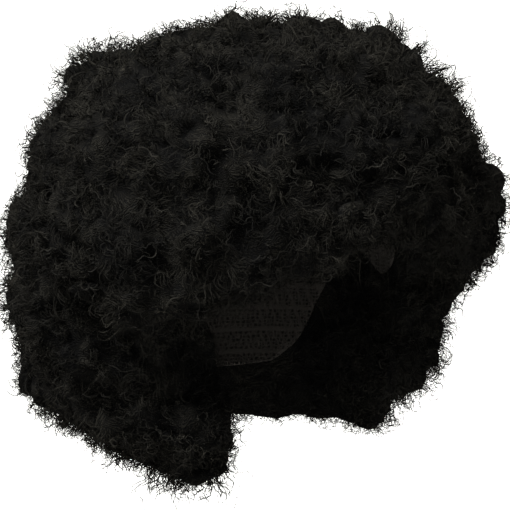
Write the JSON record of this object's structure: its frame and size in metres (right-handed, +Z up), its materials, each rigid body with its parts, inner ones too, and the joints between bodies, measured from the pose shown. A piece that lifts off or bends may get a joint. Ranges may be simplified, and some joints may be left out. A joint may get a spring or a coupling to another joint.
{
  "type": "afro wig",
  "caption": "Full round afro wig: a thin head-shaped cap under deep rows of tightly curled hair, open at the face.",
  "frame": {"origin": "inside the top of the cap, where it rests on the crown of the head", "axes": "+Z up the wearer's head, the face towards -Y, so +X is the wearer's left"},
  "size_m": [0.2934, 0.2927, 0.2706],
  "materials": {
    "cap_net": "matte",
    "curls": "matte"
  },
  "bodies": {
    "root": {"wig_cap": "cap_net", "crown_weft": "curls", "weft_row_1": "curls", "weft_row_2": "curls", "weft_row_3": "curls", "weft_row_4": "curls", "weft_row_5": "curls", "weft_row_6": "curls", "weft_row_7": "curls", "face_fringe": "curls"}
  },
  "joints": []
}
